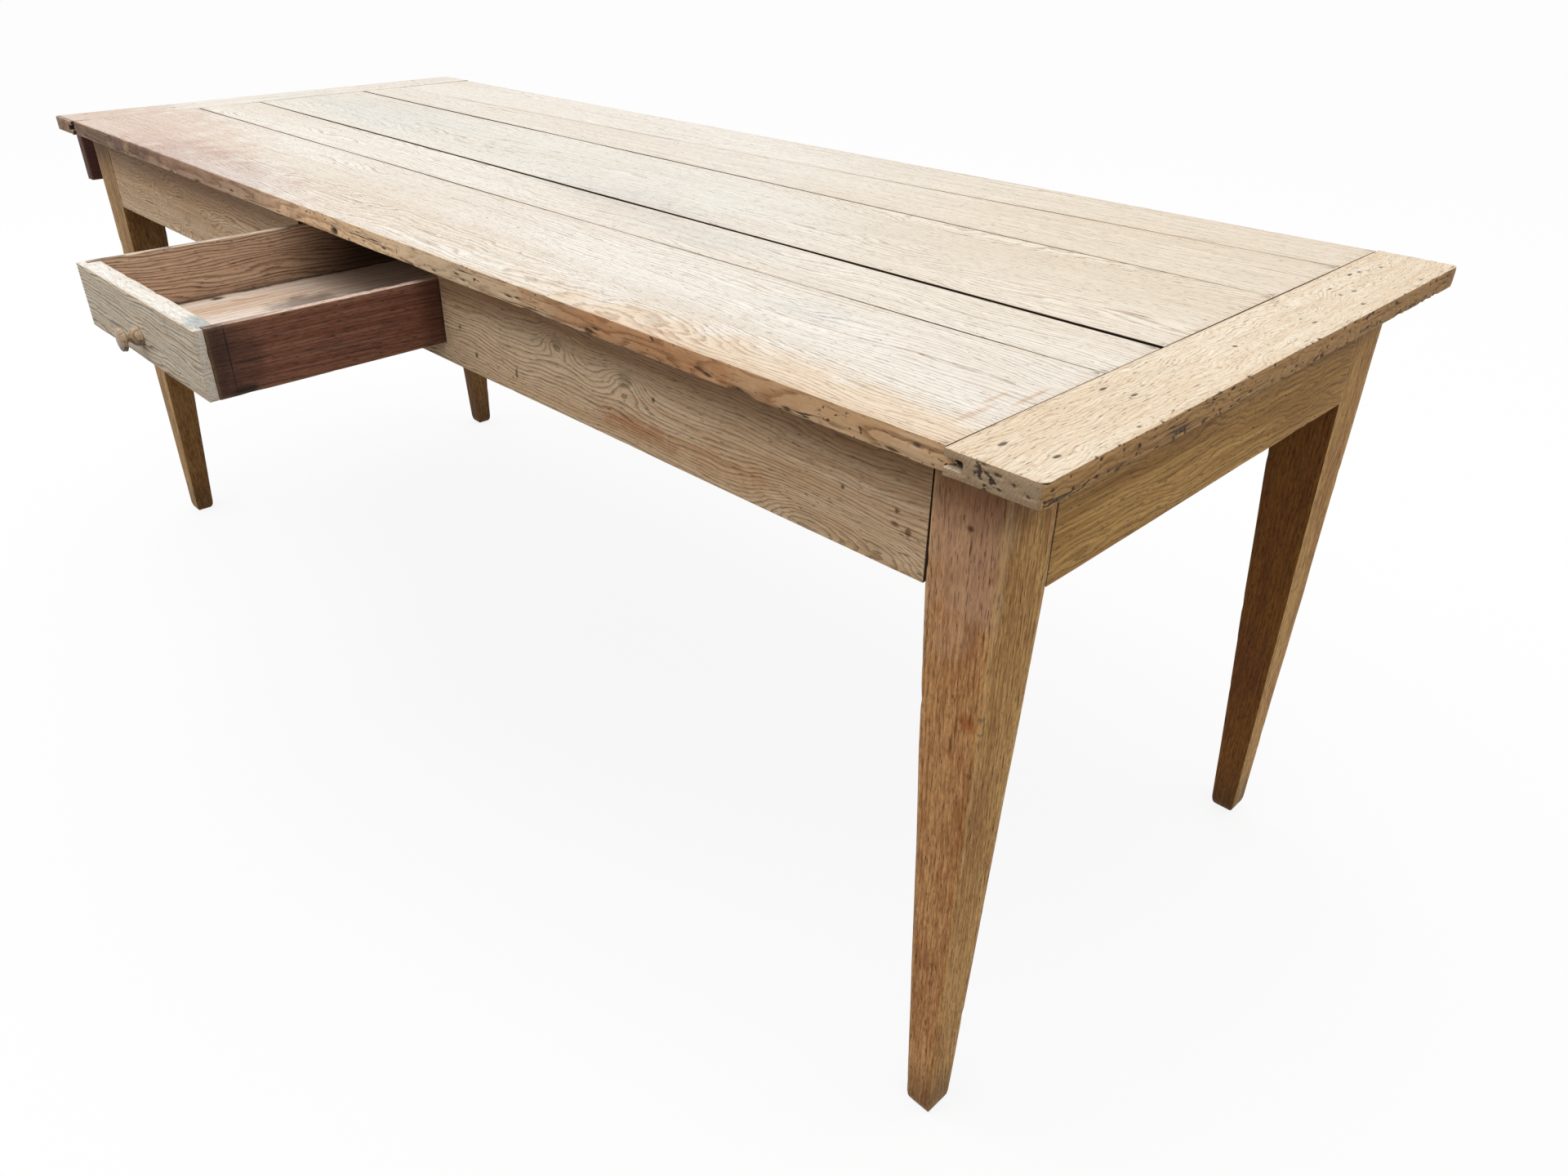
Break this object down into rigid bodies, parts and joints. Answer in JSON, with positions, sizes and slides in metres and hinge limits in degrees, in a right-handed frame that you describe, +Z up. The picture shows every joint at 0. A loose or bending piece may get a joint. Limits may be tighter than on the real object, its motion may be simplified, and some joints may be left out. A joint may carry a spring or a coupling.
{
  "type": "farmhouse table",
  "caption": "Farmhouse table with a plank top between breadboard ends, tapered legs tenoned to aprons, a drawer in the front apron and a drawer at the far end.",
  "frame": {"origin": "on the ground, under the middle of the whole table as it stands with its drawers pulled out", "axes": "+X along the table to the end without a drawer, -Y to the front that holds the side drawer, +Z up"},
  "size_m": [2.1086, 1.045, 0.76],
  "materials": {
    "top": "bare scrubbed oak, pale and worn",
    "frame": "old waxed oak",
    "carcass": "rough sawn pine, aged",
    "drawer_front": "weathered grey oak",
    "drawer_side": "dark reddish wood, rubbed by use",
    "drawer_bottom": "bare pine",
    "knob": "turned wood, polished by hands",
    "nail": "forged iron, rusted"
  },
  "bodies": {
    "table": {"top_plank_front": "top", "top_plank_second": "top", "top_plank_third": "top", "top_plank_fourth": "top", "top_plank_back": "top", "breadboard_near": "top", "breadboard_far": "top", "leg_front_right": "frame", "leg_back_right": "frame", "leg_front_left": "frame", "leg_back_left": "frame", "front_apron": "frame", "back_apron": "frame", "near_end_apron": "frame", "end_rail": "frame", "side_drawer_runner_left": "carcass", "side_drawer_runner_right": "carcass", "side_drawer_guide_left": "carcass", "side_drawer_guide_right": "carcass", "side_drawer_kicker_left": "carcass", "side_drawer_kicker_right": "carcass", "side_drawer_stops": "carcass", "end_drawer_runner_front": "carcass", "end_drawer_runner_back": "carcass", "end_drawer_guide_front": "carcass", "end_drawer_guide_back": "carcass", "end_drawer_kicker_front": "carcass", "end_drawer_kicker_back": "carcass", "top_fixing_blocks": "carcass"},
    "side_drawer": {"side_drawer_front": "drawer_front", "side_drawer_left_side": "drawer_side", "side_drawer_right_side": "drawer_side", "side_drawer_back": "drawer_side", "side_drawer_bottom_left": "drawer_bottom", "side_drawer_bottom_right": "drawer_bottom", "side_drawer_knob": "knob", "side_drawer_nails": "nail"},
    "end_drawer": {"end_drawer_front": "drawer_front", "end_drawer_left_side": "drawer_side", "end_drawer_right_side": "drawer_side", "end_drawer_back": "drawer_side", "end_drawer_bottom_left": "drawer_bottom", "end_drawer_bottom_right": "drawer_bottom", "end_drawer_knob": "knob", "end_drawer_nails": "nail"}
  },
  "joints": [
    {"name": "side_drawer_slide", "type": "slide", "parent": "table", "child": "side_drawer", "axis": [0, -1, 0], "range_m": [-0.278, 0.09]},
    {"name": "end_drawer_slide", "type": "slide", "parent": "table", "child": "end_drawer", "axis": [-1, 0, 0], "range_m": [-0.078, 0.23]}
  ]
}
